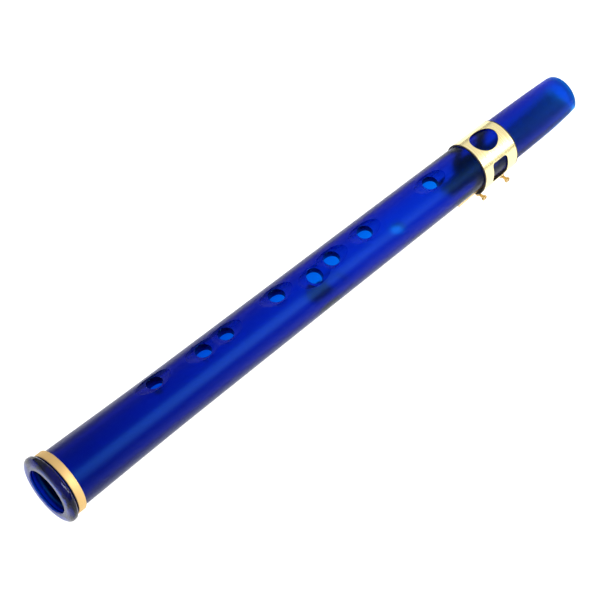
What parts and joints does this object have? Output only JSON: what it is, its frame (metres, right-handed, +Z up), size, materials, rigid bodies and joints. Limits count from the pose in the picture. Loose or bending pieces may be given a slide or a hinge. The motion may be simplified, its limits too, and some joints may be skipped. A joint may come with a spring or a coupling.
{
  "type": "pocket saxophone",
  "caption": "Pocket saxophone: a tapered tube with finger holes and a ringed bell, played through a moulded mouthpiece with a cane reed that a two-screw ligature clamps.",
  "frame": {"origin": "on the floor under the middle of the tube, as the instrument lies with its finger holes up", "axes": "+X along the tube from the bell to the tip of the mouthpiece, +Z up through the finger holes, +Y to the side away from the thumbscrew heads"},
  "size_m": [0.313, 0.032, 0.032],
  "materials": {
    "blue_plastic": "translucent satin ABS",
    "navy_plastic": "polished, almost opaque",
    "satin_gold": "gold plated, satin",
    "pale_gold": "pale gold plated, bright",
    "cane": "dry cane with a pale vamp",
    "nickel": "nickel plated"
  },
  "bodies": {
    "tube": {"body": "blue_plastic", "bell_ring": "navy_plastic", "bell_band": "satin_gold", "strap_plate": "nickel", "strap_screw_bell": "nickel", "strap_screw_tip": "nickel"},
    "reed": {"reed": "cane"},
    "ligature": {"ligature_band": "pale_gold", "screw_post_bell": "pale_gold", "screw_post_tip": "pale_gold", "thread_post_bell": "pale_gold", "thread_post_tip": "pale_gold"},
    "bell_screw": {"ligature_screw_bell": "pale_gold"},
    "tip_screw": {"ligature_screw_tip": "pale_gold"},
    "ring": {"strap_ring": "nickel"}
  },
  "joints": [
    {"name": "ligature_slide", "type": "slide", "parent": "tube", "child": "ligature", "axis": [1, 0, 0], "range_m": [0, 0.07]},
    {"name": "reed_slide", "type": "slide", "parent": "tube", "child": "reed", "axis": [0.9928, 0, 0.1201], "range_m": [0, 0.07]},
    {"name": "bell_screw_turn", "type": "hinge", "parent": "ligature", "child": "bell_screw", "pos_m": [0.0944, 0, 0.0014], "axis": [0, 1, 0], "range_deg": [0, 990]},
    {"name": "tip_screw_turn", "type": "hinge", "parent": "ligature", "child": "tip_screw", "pos_m": [0.1099, 0, 0.0014], "axis": [0, 1, 0], "range_deg": [0, 990]},
    {"name": "ring_swing", "type": "hinge", "parent": "tube", "child": "ring", "pos_m": [-0.0005, 0, 0.002], "axis": [0, 1, 0], "range_deg": [0, 170]}
  ]
}
